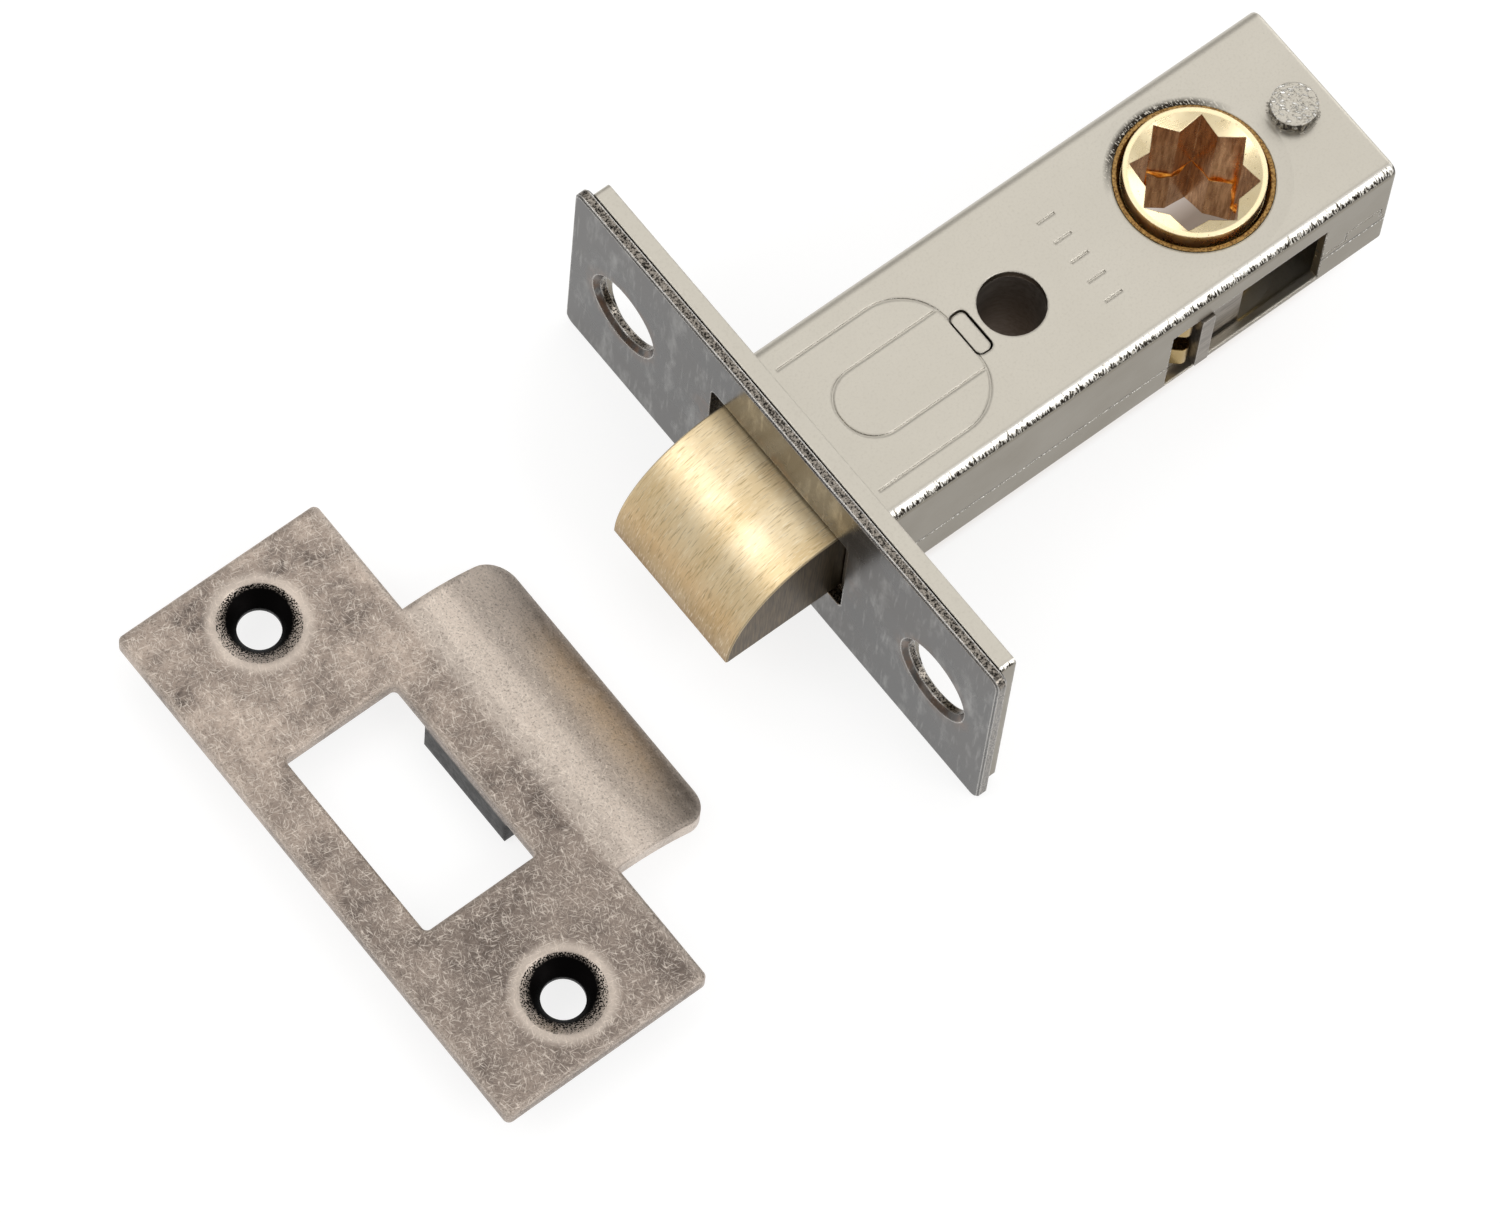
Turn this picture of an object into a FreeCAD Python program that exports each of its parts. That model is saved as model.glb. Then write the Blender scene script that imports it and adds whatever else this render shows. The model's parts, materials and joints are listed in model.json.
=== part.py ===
import FreeCAD, Part
import math
import os

# Sprung tubular mortice latch with its strike plate, laid out as a set.
# Frame: origin at the centre of the outer forend's front face, +X the way the bolt shoots,
# +Y along the forend, +Z along the spindle. Millimetres.

os.makedirs("parts", exist_ok=True)
V = FreeCAD.Vector
touching = 1e-6

# ---------------------------------------------------------------- driving dimensions
forend_width = 23.75
outer_forend_thickness = 1.15
outer_forend_corner = 1.0
forend_edge_break = 0.18
inner_forend_thickness = 1.6
inner_forend_corner = 0.5
inner_forend_setback = 1.0
forend_slot_side_gap = 1.53
forend_slot_corner = 0.6
forend_slot_below_bolt = 0.55
forend_slot_above_bolt = 0.5

screw_spacing = 42.4
screw_to_forend_end = 7.4
screw_hole_diameter = 7.5
screw_countersink_diameter = 8.5
screw_relief_side_gap = 0.45
screw_relief_margin = 2.475

case_height = 13.46
case_wall = 0.9
case_bend_radius = 1.1
case_end_radius = 0.4
seam_gap = 0.1
seam_drop_front = 2.1
seam_drop_rear = 1.3
seam_tongue_height = 1.4
seam_tongue_length = 3.9
seam_tongue_setback = 0.9
case_tenon_width = 5.0
tenon_setback = 0.15

backset = 45.0
star_across_flats = 8.0
hub_rim_wall = 0.59
hub_shoulder = 0.35
hub_rim_height = 1.2
hub_countersink_depth = 0.7
hub_countersink_margin = 0.42
bush_wall = 0.75
bush_mouth_width = 0.375
bush_mouth_depth = 0.75
bush_proud = 0.06

lobe_layer_height = 2.6
lobe_tip_inset = 0.38
lobe_corner_radius = 0.65
lobe_front_angle = 38.0
lobe_root_angle = 12.0
lobe_relief_angle = 48.0
lobe_flank_foot = 1.3

window_front_gap = 3.1
window_rear_gap = 2.38
window_roof_margin = 3.33
window_sill_height = 1.45
window_step_length = 4.9

drawbar_thickness = 0.9
drawbar_cross_length = 3.7
drawbar_arm_width = 1.4
drawbar_tab_lead = 0.1
drawbar_tab_thickness = 1.4
drawbar_tab_proud = 0.3
drawbar_tail_length = 4.6
drawbar_tail_thickness = 0.65
drawbar_tail_height = 5.5
drawbar_nub_size = 1.1
drawbar_rivet_diameter = 2.0
drawbar_rivet_length = 3.4
drawbar_rivet_edge = 2.62

bolt_projection = 11.15
bolt_left_proud = 0.88
bolt_tail_length = 8.3
bolt_side_gap = 1.05
bolt_roof_gap = 0.96
bolt_pocket_depth = 6.8
bolt_edge_break = 0.12

through_hole_diameter = 6.1
sleeve_wall = 0.6

abutment_thickness = 1.45
abutment_lug_width = 4.2
lug_setback = 0.12
lug_corner = 0.5

spring_wire = 0.9
spring_outer_diameter = 6.4
spring_turns = 6.5
spring_washer_thickness = 0.5
guide_pin_diameter = 3.2
guide_pin_chamfer = 0.53
guide_pin_tenon_diameter = 2.2

rivet_to_case_end = 3.7
rivet_head_diameter = 4.25
rivet_head_height = 1.12
rivet_shank_diameter = 3.0
rear_spacer_wall = 0.95

strike_thickness = 1.7
strike_corner = 0.6
strike_edge_round = 0.25
strike_rim = 4.7
strike_bolt_side_gap = 1.98
strike_bolt_play = 1.23
strike_opening_corner = 0.5
strike_screw_spacing = 42.2
strike_screw_to_end = 6.1
strike_screw_hole_diameter = 3.9
strike_countersink_diameter = 7.6
strike_countersink_depth = 1.2
strike_tab_length = 11.2
strike_tab_depth = 3.5
strike_tab_thickness = 1.2
strike_lip_width = 29.8
strike_lip_reach = 10.3
strike_lip_corner = 2.6
strike_lip_drop = 2.9
strike_apart = 8.2
strike_offset_y = 1.9

line_width = 0.22
line_depth = 0.1
arch_outer_half_width = 7.0
arch_outer_setback = 2.05
arch_outer_corner = 5.0
arch_inner_half_width = 3.4
arch_inner_setback = 3.85
arch_abutment_gap = 0.1
tick_count = 5
tick_length = 1.9
tick_pitch = 2.3
tick_forward = 0.6

# ---------------------------------------------------------------- clearances
running_clearance = 0.05      # a journal in its bush, radially
sliding_clearance = 0.12      # the bolt in the inner forend, each side
seat_clearance = 0.05         # a staked, pressed or riveted piece in its hole, each side
lug_clearance = 0.2           # the abutment's lug in its punched slot, each side
bolt_floor_clearance = 0.23
drawbar_floor_clearance = 0.08
tab_lobe_clearance = 0.05
tab_sill_clearance = 0.2
lobe_drawbar_clearance = 0.15
lobe_roof_clearance = 0.3
arm_wall_clearance = 0.25
arm_hub_clearance = 0.62
abutment_arm_clearance = 0.62
abutment_sleeve_clearance = 0.1
bolt_abutment_clearance = 1.23
guide_pin_clearance = 0.83
washer_clearance = 0.15
hub_spacer_clearance = 1.95

# ---------------------------------------------------------------- derived sizes and places
forend_length = screw_spacing + 2 * screw_to_forend_end
inner_forend_length = forend_length - 2 * inner_forend_setback
screw_relief_width = screw_countersink_diameter + 2 * screw_relief_side_gap
screw_relief_length = forend_width - 2 * screw_relief_margin
forend_stack = outer_forend_thickness + inner_forend_thickness

hub_rim_radius = star_across_flats / math.sqrt(2) + hub_rim_wall
hub_body_radius = hub_rim_radius + hub_shoulder
star_corner_radius = star_across_flats / 2 / math.cos(math.pi / 8)
bush_bore_radius = hub_rim_radius + running_clearance
bush_radius = bush_bore_radius + bush_wall

# the case is as wide as the hub, the drawbar's two arms and its own walls need
arm_inner_y = hub_body_radius + arm_hub_clearance
arm_outer_y = arm_inner_y + drawbar_arm_width
inside_y = arm_outer_y + arm_wall_clearance
half_case_width = inside_y + case_wall
case_width = 2 * half_case_width
half_case_height = case_height / 2
inside_z = half_case_height - case_wall
seam_z_front = -seam_drop_front
seam_z_rear = -seam_drop_rear

bolt_width = 2 * (inside_y - bolt_side_gap)
half_bolt_width = bolt_width / 2
bolt_top_z = inside_z - bolt_roof_gap
bolt_bottom_z = -inside_z + bolt_floor_clearance
bolt_height = bolt_top_z - bolt_bottom_z
bolt_axis_z = (bolt_top_z + bolt_bottom_z) / 2
bolt_rear_x = -bolt_tail_length
bolt_travel = bolt_projection - bolt_left_proud
pocket_floor_x = bolt_rear_x + bolt_pocket_depth
forend_slot_length = bolt_width + 2 * forend_slot_side_gap

# front to rear: the bolt's room, the abutment, the through hole, the follower, the rear rivet
abutment_front_x = bolt_rear_x - bolt_travel - bolt_abutment_clearance
abutment_rear_x = abutment_front_x - abutment_thickness
abutment_width = 2 * (arm_inner_y - abutment_arm_clearance)
washer_front_x = abutment_front_x + spring_washer_thickness
guide_pin_tip_x = pocket_floor_x - bolt_travel - guide_pin_clearance
sleeve_radius = through_hole_diameter / 2 + sleeve_wall
through_hole_x = abutment_rear_x - abutment_sleeve_clearance - sleeve_radius
follower_x = -backset
rear_spacer_radius = rivet_shank_diameter / 2 + seat_clearance + rear_spacer_wall
rivet_x = follower_x - hub_body_radius - hub_spacer_clearance - rear_spacer_radius
case_front_x = -forend_stack
case_rear_x = rivet_x - rivet_to_case_end

drawbar_bottom_z = -inside_z + drawbar_floor_clearance
drawbar_top_z = drawbar_bottom_z + drawbar_thickness
tab_front_x = follower_x + hub_body_radius + drawbar_tab_lead
tab_rear_x = tab_front_x - drawbar_tab_thickness
tab_outer_y = half_case_width + drawbar_tab_proud
window_front_x = tab_front_x + window_front_gap
window_rear_x = tab_rear_x - bolt_travel - window_rear_gap
window_top_z = half_case_height - window_roof_margin
sill_z = -half_case_height + window_sill_height
lobe_top_z = window_top_z - lobe_roof_clearance
lobe_bottom_z = drawbar_top_z + lobe_drawbar_clearance
lobe_split_z = (lobe_top_z + lobe_bottom_z) / 2
tab_top_z = lobe_top_z - tab_lobe_clearance

arch_outer_front_x = case_front_x - arch_outer_setback
arch_inner_front_x = case_front_x - arch_inner_setback
arch_outer_rear_x = abutment_front_x + arch_abutment_gap
tick_x = (through_hole_x - through_hole_diameter / 2 + follower_x + bush_radius) / 2 + tick_forward

strike_opening_length = bolt_width + 2 * strike_bolt_side_gap
strike_opening_width = bolt_height + strike_bolt_play
strike_width = strike_opening_width + 2 * strike_rim
strike_length = strike_screw_spacing + 2 * strike_screw_to_end
strike_centre_x = bolt_projection + strike_apart + strike_lip_reach + strike_width / 2
strike_bottom_z = -forend_width / 2 + strike_tab_depth
strike_top_z = strike_bottom_z + strike_thickness
strike_lip_radius = (strike_lip_reach ** 2 + strike_lip_drop ** 2) / (2 * strike_lip_drop)


# ---------------------------------------------------------------- shape helpers
def block(x0, x1, y0, y1, z0, z1):
    return Part.makeBox(x1 - x0, y1 - y0, z1 - z0, V(x0, y0, z0))


def rod_x(radius, x0, x1, y=0.0, z=0.0):
    return Part.makeCylinder(radius, x1 - x0, V(x0, y, z), V(1, 0, 0))


def rod_z(radius, z0, z1, x=0.0, y=0.0):
    return Part.makeCylinder(radius, z1 - z0, V(x, y, z0), V(0, 0, 1))


def edges_along(shape, axis, keep=lambda centre: True):
    """Straight edges that run along one axis and whose centre passes the test."""
    found = []
    for edge in shape.Edges:
        if len(edge.Vertexes) != 2:
            continue
        run = edge.Vertexes[1].Point.sub(edge.Vertexes[0].Point)
        if run.Length > 0 and abs(run.dot(axis)) > 0.999 * run.Length and keep(edge.CenterOfMass):
            found.append(edge)
    return found


def plate_x(x0, x1, length, width, corner):
    """A plate standing across X with rounded corners."""
    plate = block(x0, x1, -length / 2, length / 2, -width / 2, width / 2)
    return plate.makeFillet(corner, edges_along(plate, V(1, 0, 0)))


def plate_z(x0, x1, y0, y1, z0, z1, corner):
    """A plate lying across Z with rounded corners."""
    plate = block(x0, x1, y0, y1, z0, z1)
    return plate.makeFillet(corner, edges_along(plate, V(0, 0, 1)))


def prism(points, z0, z1):
    """A straight-sided outline in XY, raised from z0 to z1."""
    corners = [V(x, y, z0) for x, y in points]
    face = Part.Face(Part.makePolygon(corners + corners[:1]))
    return face.extrude(V(0, 0, z1 - z0))


def mirror_y(shape):
    return shape.mirror(V(0, 0, 0), V(0, 1, 0))


def mirror_z(shape):
    return shape.mirror(V(0, 0, 0), V(0, 0, 1))


def both_sides(shape):
    return shape.fuse(mirror_y(shape))


def polar(radius, degrees):
    turn = math.radians(degrees)
    return radius * math.cos(turn), radius * math.sin(turn)


# ---------------------------------------------------------------- forends
def forend_screw_places():
    return [side * screw_spacing / 2 for side in (-1, 1)]


def outer_forend():
    plate = plate_x(-outer_forend_thickness, 0, forend_length, forend_width, outer_forend_corner)
    rims = [e for e in plate.Edges if min(abs(e.CenterOfMass.x - x)
                                          for x in (0, -outer_forend_thickness)) < touching]
    plate = plate.makeChamfer(forend_edge_break, rims)
    slot = block(-outer_forend_thickness, 0, -forend_slot_length / 2, forend_slot_length / 2,
                 bolt_bottom_z - forend_slot_below_bolt, bolt_top_z + forend_slot_above_bolt)
    slot = slot.makeFillet(forend_slot_corner, edges_along(slot, V(1, 0, 0)))
    plate = plate.cut(slot)
    for y in forend_screw_places():
        sink = (screw_countersink_diameter - screw_hole_diameter) / 2
        plate = plate.cut(rod_x(screw_hole_diameter / 2, -outer_forend_thickness, 0, y))
        plate = plate.cut(Part.makeCone(screw_hole_diameter / 2, screw_countersink_diameter / 2,
                                        sink, V(-sink, y, 0), V(1, 0, 0)))
    return plate


def relief_slot(y):
    """The round-ended opening behind a screw hole, long across the forend."""
    x0, x1 = -forend_stack, -outer_forend_thickness
    radius = screw_relief_width / 2
    reach = screw_relief_length / 2 - radius
    slot = block(x0, x1, y - radius, y + radius, -reach, reach)
    return slot.fuse([rod_x(radius, x0, x1, y, end * reach) for end in (-1, 1)])


def inner_forend():
    x0, x1 = -forend_stack, -outer_forend_thickness
    plate = plate_x(x0, x1, inner_forend_length, forend_width, inner_forend_corner)
    half_mouth = half_bolt_width + sliding_clearance
    plate = plate.cut(block(x0, x1, -half_mouth, half_mouth,
                            bolt_bottom_z - sliding_clearance, bolt_top_z + sliding_clearance))
    plate = plate.cut([relief_slot(y) for y in forend_screw_places()])
    return plate.cut([case_tenon(side, seat_clearance, 0) for side in (-1, 1)])


# ---------------------------------------------------------------- case
def case_tenon(side, grow, setback):
    """The tongue on a shell's broad wall that is staked into the inner forend."""
    z_out = side * (half_case_height + grow)
    z_in = side * (inside_z - grow)
    half = case_tenon_width / 2 + grow
    return block(case_front_x, -outer_forend_thickness - setback, -half, half,
                 min(z_in, z_out), max(z_in, z_out))


def case_tube():
    """Both shells as one closed box with bent edges, open towards the forend."""
    outside = block(case_rear_x, case_front_x, -half_case_width, half_case_width,
                    -half_case_height, half_case_height)
    outside = outside.makeFillet(case_bend_radius, edges_along(outside, V(1, 0, 0)))
    rear_rim = [e for e in outside.Edges if e.BoundBox.XMax < case_rear_x + touching]
    outside = outside.makeFillet(case_end_radius, rear_rim)
    inside = block(case_rear_x + case_wall, case_front_x, -inside_y, inside_y, -inside_z, inside_z)
    bends = edges_along(inside, V(1, 0, 0))
    inside = inside.makeFillet(case_bend_radius - case_wall, bends)
    return outside.cut(inside)


def below_seam(grow):
    """Everything under the seam, with the seam moved up by grow and its tongues widened by it."""
    far = case_width
    mid_x = (window_front_x + window_rear_x) / 2
    front = block(mid_x, case_front_x + far, -far, far, -far, seam_z_front + grow)
    rear = block(case_rear_x - far, mid_x, -far, far, -far, seam_z_rear + grow)
    tongue_rear = case_rear_x + seam_tongue_setback
    tongue = block(tongue_rear - grow, tongue_rear + seam_tongue_length + grow,
                   inside_y - case_wall, far, -far, seam_z_rear + seam_tongue_height + grow)
    return front.fuse([rear, both_sides(tongue)])


def window():
    """The side opening that the follower's lobe and the drawbar's tab work through."""
    y0, y1 = inside_y - case_wall, half_case_width + case_wall
    low_sill = block(window_front_x - window_step_length, window_front_x, y0, y1,
                     -inside_z, window_top_z)
    high_sill = block(window_rear_x, window_front_x, y0, y1, sill_z, window_top_z)
    return both_sides(low_sill.fuse(high_sill))


def spindle_and_screw_holes():
    z0, z1 = -case_height, case_height
    holes = [rod_z(bush_radius + seat_clearance, z0, z1, follower_x),
             rod_z(through_hole_diameter / 2, z0, z1, through_hole_x),
             rod_z(rivet_shank_diameter / 2 + seat_clearance, z0, z1, rivet_x)]
    half = abutment_lug_width / 2 + lug_clearance
    holes.append(plate_z(abutment_rear_x - lug_clearance, abutment_front_x + lug_clearance,
                         -half, half, z0, z1, lug_corner + lug_clearance))
    return holes


def shell(side):
    """side +1 is the upper shell, -1 the lower one."""
    tube = case_tube().cut(window())
    if side > 0:
        half = tube.cut(below_seam(seam_gap / 2))
    else:
        half = tube.common(below_seam(-seam_gap / 2))
    half = half.fuse(case_tenon(side, 0, tenon_setback))
    return half.cut(spindle_and_screw_holes()).removeSplitter()


def arch_block(front_x, rear_x, half_width, corner, grow, round_end):
    """A rounded outline for an engraved line: its rear or its front corners are round."""
    z0, z1 = half_case_height - line_depth, half_case_height + line_depth
    shape = block(rear_x - grow, front_x + grow, -half_width - grow, half_width + grow, z0, z1)
    edge_x = rear_x if round_end == "rear" else front_x
    corners = edges_along(shape, V(0, 0, 1), lambda centre: abs(centre.x - edge_x) < line_width)
    return shape.makeFillet(corner + grow, corners)


def witness_lines():
    """The two nested horseshoe lines on the broad face, open at the end they run out to."""
    half = line_width / 2
    outer = arch_block(arch_outer_front_x, arch_outer_rear_x, arch_outer_half_width,
                       arch_outer_corner, half, "rear")
    outer = outer.cut(arch_block(arch_outer_front_x, arch_outer_rear_x, arch_outer_half_width,
                                 arch_outer_corner, -half, "rear"))
    inner = arch_block(arch_inner_front_x, arch_outer_rear_x, arch_inner_half_width,
                       arch_inner_half_width - line_width, half, "front")
    inner = inner.cut(arch_block(arch_inner_front_x, arch_outer_rear_x, arch_inner_half_width,
                                 arch_inner_half_width - line_width, -half, "front"))
    far = case_width
    open_front = block(arch_outer_front_x - line_width, 0, -far, far, -far, far)
    open_rear = block(-far * 2, arch_outer_rear_x + line_width, -far, far, -far, far)
    return [outer.cut(open_front), inner.cut(open_rear)]


def size_ticks():
    """A row of plain punched bars in place of a size stamp."""
    z0, z1 = half_case_height - line_depth, half_case_height + line_depth
    first_y = -tick_pitch * (tick_count - 1) / 2
    return [block(tick_x - tick_length / 2, tick_x + tick_length / 2,
                  first_y + step * tick_pitch - line_width / 2,
                  first_y + step * tick_pitch + line_width / 2, z0, z1) for step in range(tick_count)]


def case_upper_shell():
    return shell(1).cut(witness_lines() + size_ticks())


def case_lower_shell():
    return shell(-1)


# ---------------------------------------------------------------- fixed pieces inside the case
def bolt_through_sleeve():
    tube = rod_z(sleeve_radius, -inside_z, inside_z, through_hole_x)
    return tube.cut(rod_z(through_hole_diameter / 2, -inside_z, inside_z, through_hole_x))


def spring_abutment():
    plate = block(abutment_rear_x, abutment_front_x, -abutment_width / 2, abutment_width / 2,
                  -inside_z, inside_z)
    lug_z = half_case_height - lug_setback
    half = abutment_lug_width / 2
    plate = plate.fuse(plate_z(abutment_rear_x, abutment_front_x, -half, half, -lug_z, lug_z, lug_corner))
    return plate.cut(rod_x(guide_pin_tenon_diameter / 2 + seat_clearance, abutment_rear_x,
                           abutment_front_x, 0, bolt_axis_z))


def spring_guide_pin():
    pin = rod_x(guide_pin_diameter / 2, abutment_front_x, guide_pin_tip_x, 0, bolt_axis_z)
    nose = [e for e in pin.Edges if abs(e.CenterOfMass.x - guide_pin_tip_x) < touching]
    pin = pin.makeChamfer(guide_pin_chamfer, nose)
    return pin.fuse(rod_x(guide_pin_tenon_diameter / 2, abutment_rear_x, abutment_front_x, 0, bolt_axis_z))


def spring_washer():
    hole = guide_pin_diameter / 2 + washer_clearance
    disc = rod_x(spring_outer_diameter / 2, abutment_front_x, washer_front_x, 0, bolt_axis_z)
    return disc.cut(rod_x(hole, abutment_front_x, washer_front_x, 0, bolt_axis_z))


def rear_rivet():
    """The rivet through both shells at the rear, with a sheared flat head above and below."""
    shank = rod_z(rivet_shank_diameter / 2, -half_case_height, half_case_height, rivet_x)
    head = rod_z(rivet_head_diameter / 2, half_case_height, half_case_height + rivet_head_height, rivet_x)
    return shank.fuse([head, mirror_z(head)])


def rear_spacer():
    """The tube on the rivet that keeps the shells apart."""
    tube = rod_z(rear_spacer_radius, -inside_z, inside_z, rivet_x)
    return tube.cut(rod_z(rivet_shank_diameter / 2 + seat_clearance, -inside_z, inside_z, rivet_x))


def follower_bush(side):
    """The brass ring pressed into a shell's spindle hole, its mouth opened to a cone."""
    z_in, z_out = inside_z, half_case_height + bush_proud
    ring = rod_z(bush_radius, z_in, z_out, follower_x)
    ring = ring.cut(rod_z(bush_bore_radius, z_in, z_out, follower_x))
    ring = ring.cut(Part.makeCone(bush_bore_radius, bush_bore_radius + bush_mouth_width, bush_mouth_depth,
                                  V(follower_x, 0, z_out - bush_mouth_depth), V(0, 0, 1)))
    return ring if side > 0 else mirror_z(ring)


# ---------------------------------------------------------------- follower
def lobe_outline(z0, z1):
    """One lobe seen along the spindle: an arc-ended paddle whose rear flank stands along Y
    against the drawbar's tab, cut back near the hub so that the tab can pass it."""
    flank_x = tab_front_x - follower_x + tab_lobe_clearance
    corner_x = flank_x + lobe_corner_radius
    corner_y = half_case_width - lobe_tip_inset - lobe_corner_radius
    lobe_radius = math.hypot(corner_x, corner_y) + lobe_corner_radius
    corner_angle = math.degrees(math.atan2(corner_y, corner_x))
    foot_y = arm_inner_y - lobe_flank_foot
    relief_x, relief_y = polar(hub_body_radius - tab_lobe_clearance, lobe_relief_angle)
    root_x, root_y = polar(hub_body_radius - tab_lobe_clearance, lobe_root_angle)
    front_x, front_y = polar(lobe_radius, lobe_front_angle)
    arc_mid = polar(lobe_radius, (corner_angle + lobe_front_angle) / 2)
    tip_out = polar(lobe_radius, corner_angle)
    turn_x, turn_y = polar(lobe_corner_radius, (corner_angle + 180) / 2)

    def at(x, y):
        return V(follower_x + x, y, z0)

    corner_mid = at(corner_x + turn_x, corner_y + turn_y)
    edges = [Part.makeLine(at(0, 0), at(root_x, root_y)),
             Part.makeLine(at(root_x, root_y), at(front_x, front_y)),
             Part.Arc(at(front_x, front_y), at(*arc_mid), at(*tip_out)).toShape(),
             Part.Arc(at(*tip_out), corner_mid, at(flank_x, corner_y)).toShape(),
             Part.makeLine(at(flank_x, corner_y), at(flank_x, foot_y)),
             Part.makeLine(at(flank_x, foot_y), at(relief_x, relief_y)),
             Part.makeLine(at(relief_x, relief_y), at(0, 0))]
    return Part.Face(Part.Wire(edges)).extrude(V(0, 0, z1 - z0))


def star_bore(z0, z1):
    half = star_across_flats / 2
    reach = half * math.sqrt(2)
    square = block(follower_x - half, follower_x + half, -half, half, z0, z1)
    diamond = prism([(follower_x + reach, 0), (follower_x, reach), (follower_x - reach, 0),
                     (follower_x, -reach)], z0, z1)
    return square.fuse(diamond)


def follower_half(side):
    """Upper or lower half of the two-part brass follower, with one layer of lobes."""
    z_end = half_case_height + hub_rim_height
    shoulder_z = inside_z - drawbar_floor_clearance
    if side > 0:
        z0, z1, body = lobe_split_z, z_end, (lobe_split_z, shoulder_z)
        lobes = (lobe_top_z - lobe_layer_height, lobe_top_z)
    else:
        z0, z1, body = -z_end, lobe_split_z, (-shoulder_z, lobe_split_z)
        lobes = (lobe_bottom_z, lobe_bottom_z + lobe_layer_height)
    hub = rod_z(hub_rim_radius, z0, z1, follower_x)
    hub = hub.fuse([rod_z(hub_body_radius, body[0], body[1], follower_x),
                    both_sides(lobe_outline(*lobes))])
    hub = hub.cut(star_bore(z0, z1))
    cone = Part.makeCone(star_corner_radius, hub_rim_radius - hub_countersink_margin,
                         hub_countersink_depth, V(follower_x, 0, z_end - hub_countersink_depth), V(0, 0, 1))
    return hub.cut(cone if side > 0 else mirror_z(cone)).removeSplitter()


# ---------------------------------------------------------------- bolt and drawbar
def bolt_head():
    """Brass latch bolt: flat underside, a round-backed bevel, and a spring pocket from behind."""
    y0 = -half_bolt_width
    nose_x = bolt_projection - bolt_height
    mid_x, mid_z = polar(bolt_height, 45)
    corners = [V(bolt_rear_x, y0, bolt_bottom_z), V(bolt_rear_x, y0, bolt_top_z),
               V(nose_x, y0, bolt_top_z), V(bolt_projection, y0, bolt_bottom_z)]
    nose = Part.Arc(corners[2], V(nose_x + mid_x, y0, bolt_bottom_z + mid_z), corners[3]).toShape()
    edges = [Part.makeLine(corners[0], corners[1]), Part.makeLine(corners[1], corners[2]),
             nose, Part.makeLine(corners[3], corners[0])]
    body = Part.Face(Part.Wire(edges)).extrude(V(0, bolt_width, 0))
    body = body.makeChamfer(bolt_edge_break, edges_along(body, V(1, 0, 0)))
    pocket = rod_x(spring_outer_diameter / 2 + washer_clearance, bolt_rear_x, pocket_floor_x, 0, bolt_axis_z)
    seat = block(bolt_rear_x, bolt_rear_x + drawbar_cross_length + seat_clearance, y0, -y0,
                 bolt_bottom_z, drawbar_top_z + seat_clearance)
    return body.cut([pocket, seat] + drawbar_rivet_pair(seat_clearance))


def drawbar_rivet_pair(grow):
    x = bolt_rear_x + drawbar_cross_length / 2
    y = half_bolt_width - drawbar_rivet_edge
    z0 = drawbar_bottom_z
    return [rod_z(drawbar_rivet_diameter / 2 + grow, z0, z0 + drawbar_rivet_length + grow, x, side * y)
            for side in (-1, 1)]


def drawbar_rivets():
    return Part.makeCompound(drawbar_rivet_pair(0))


def drawbar_arm():
    """One arm of the fork, with the upright tab that the follower pushes and a short tail."""
    arm = block(tab_rear_x, bolt_rear_x, arm_inner_y, arm_outer_y, drawbar_bottom_z, drawbar_top_z)
    upright = block(tab_rear_x, tab_front_x, arm_inner_y, arm_outer_y, drawbar_bottom_z, tab_top_z)
    ear = block(tab_rear_x, tab_front_x, arm_inner_y, tab_outer_y, sill_z + tab_sill_clearance, tab_top_z)
    tail_x = tab_rear_x - drawbar_tail_length
    tail_y = arm_outer_y - drawbar_tail_thickness
    tail_top = drawbar_bottom_z + drawbar_tail_height
    tail = block(tail_x, tab_rear_x, tail_y, arm_outer_y, drawbar_bottom_z, tail_top)
    nub = block(tail_x, tail_x + drawbar_nub_size, tail_y, arm_outer_y,
                tail_top, tail_top + drawbar_nub_size)
    return arm.fuse([upright, ear, tail, nub])


def drawbar():
    """The flat steel fork on the case floor that joins the bolt to the two tabs."""
    cross = block(bolt_rear_x, bolt_rear_x + drawbar_cross_length, -arm_outer_y, arm_outer_y,
                  drawbar_bottom_z, drawbar_top_z)
    fork = cross.fuse(both_sides(drawbar_arm()))
    return fork.cut(drawbar_rivet_pair(seat_clearance)).removeSplitter()


def bolt_spring():
    """An open coil between the bolt's pocket and the washer on the abutment."""
    radius = (spring_outer_diameter - spring_wire) / 2
    length = pocket_floor_x - washer_front_x - spring_wire - 2 * seat_clearance
    pitch = length / spring_turns
    helix = Part.makeHelix(pitch, length, radius)
    start = V(radius, 0, 0)
    wire = Part.Wire(Part.makeCircle(spring_wire / 2, start, V(0, 1, pitch / (2 * math.pi * radius))))
    coil = Part.Wire(helix.Edges).makePipeShell([wire], True, True)
    coil.rotate(V(0, 0, 0), V(0, 1, 0), 90)
    coil.translate(V(washer_front_x + spring_wire / 2 + seat_clearance, 0, bolt_axis_z))
    return coil


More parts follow.
